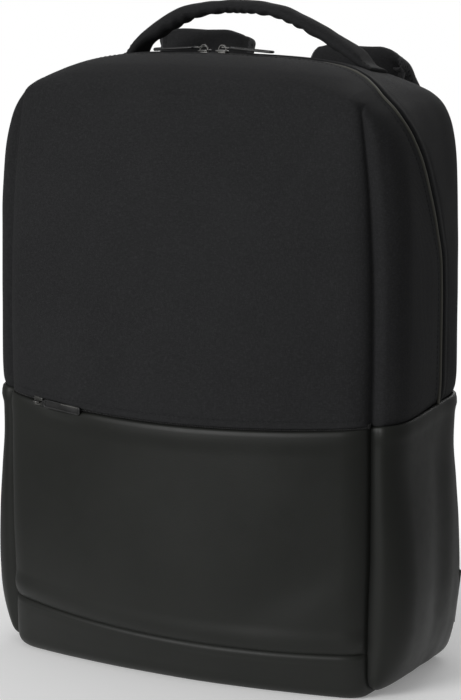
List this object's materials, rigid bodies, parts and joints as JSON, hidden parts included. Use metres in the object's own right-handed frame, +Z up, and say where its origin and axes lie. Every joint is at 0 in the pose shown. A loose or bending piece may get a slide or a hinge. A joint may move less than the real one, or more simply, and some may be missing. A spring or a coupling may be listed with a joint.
{
  "type": "laptop backpack",
  "caption": "Closed laptop backpack standing on its base: woven upper over a coated base, arched zip, front pocket zip, grab handle and padded shoulder straps.",
  "frame": {"origin": "on the floor at the middle of the flat base, midway between the front and back seams", "axes": "+Z up, -Y towards the front, +X to the right seen from the front, +Y towards the wearer's back"},
  "size_m": [0.3438, 0.2224, 0.4843],
  "materials": {
    "woven_cloth": "fine matt weave, nearly black",
    "coated_cloth": "coated cloth with a soft sheen, nearly black",
    "air_mesh": "matt spacer mesh over foam",
    "zip_tape": "matt tape with a plastic coil",
    "piping": "coated cord edging, olive grey",
    "dark_metal": "gunmetal plating",
    "black_plastic": "satin moulded plastic"
  },
  "bodies": {
    "bag": {"front_panel": "woven_cloth", "rear_gusset": "woven_cloth", "pocket_panel": "coated_cloth", "base_panel": "coated_cloth", "back_panel": "air_mesh", "side_panel_left": "woven_cloth", "side_panel_right": "woven_cloth", "side_base_left": "coated_cloth", "side_base_right": "coated_cloth", "main_zip": "zip_tape", "zip_piping": "piping", "pocket_zip": "zip_tape", "handle": "woven_cloth", "main_left_slider": "dark_metal", "main_right_slider": "dark_metal", "pocket_slider": "dark_metal", "shoulder_strap_left": "woven_cloth", "shoulder_strap_right": "woven_cloth", "ladder_lock_left": "black_plastic", "ladder_lock_right": "black_plastic", "base_tab_left": "woven_cloth", "base_tab_right": "woven_cloth", "strap_webbing_left": "woven_cloth", "strap_webbing_right": "woven_cloth"},
    "main_left_pull": {"main_left_pull": "black_plastic"},
    "main_right_pull": {"main_right_pull": "black_plastic"},
    "pocket_pull": {"pocket_pull": "black_plastic"}
  },
  "joints": [
    {"name": "main_left_pull_hinge", "type": "hinge", "parent": "bag", "child": "main_left_pull", "pos_m": [-0.01905, -0.00315, 0.45173], "axis": [-0.0055, 1, -0.0002], "range_deg": [0, 90]},
    {"name": "main_right_pull_hinge", "type": "hinge", "parent": "bag", "child": "main_right_pull", "pos_m": [-0.00356, -0.00315, 0.45193], "axis": [0, -1, 0], "range_deg": [0, 90]},
    {"name": "pocket_pull_hinge", "type": "hinge", "parent": "bag", "child": "pocket_pull", "pos_m": [-0.11393, -0.08664, 0.19445], "axis": [-0.0517, 0.0142, -0.9986], "range_deg": [0, 150]}
  ]
}
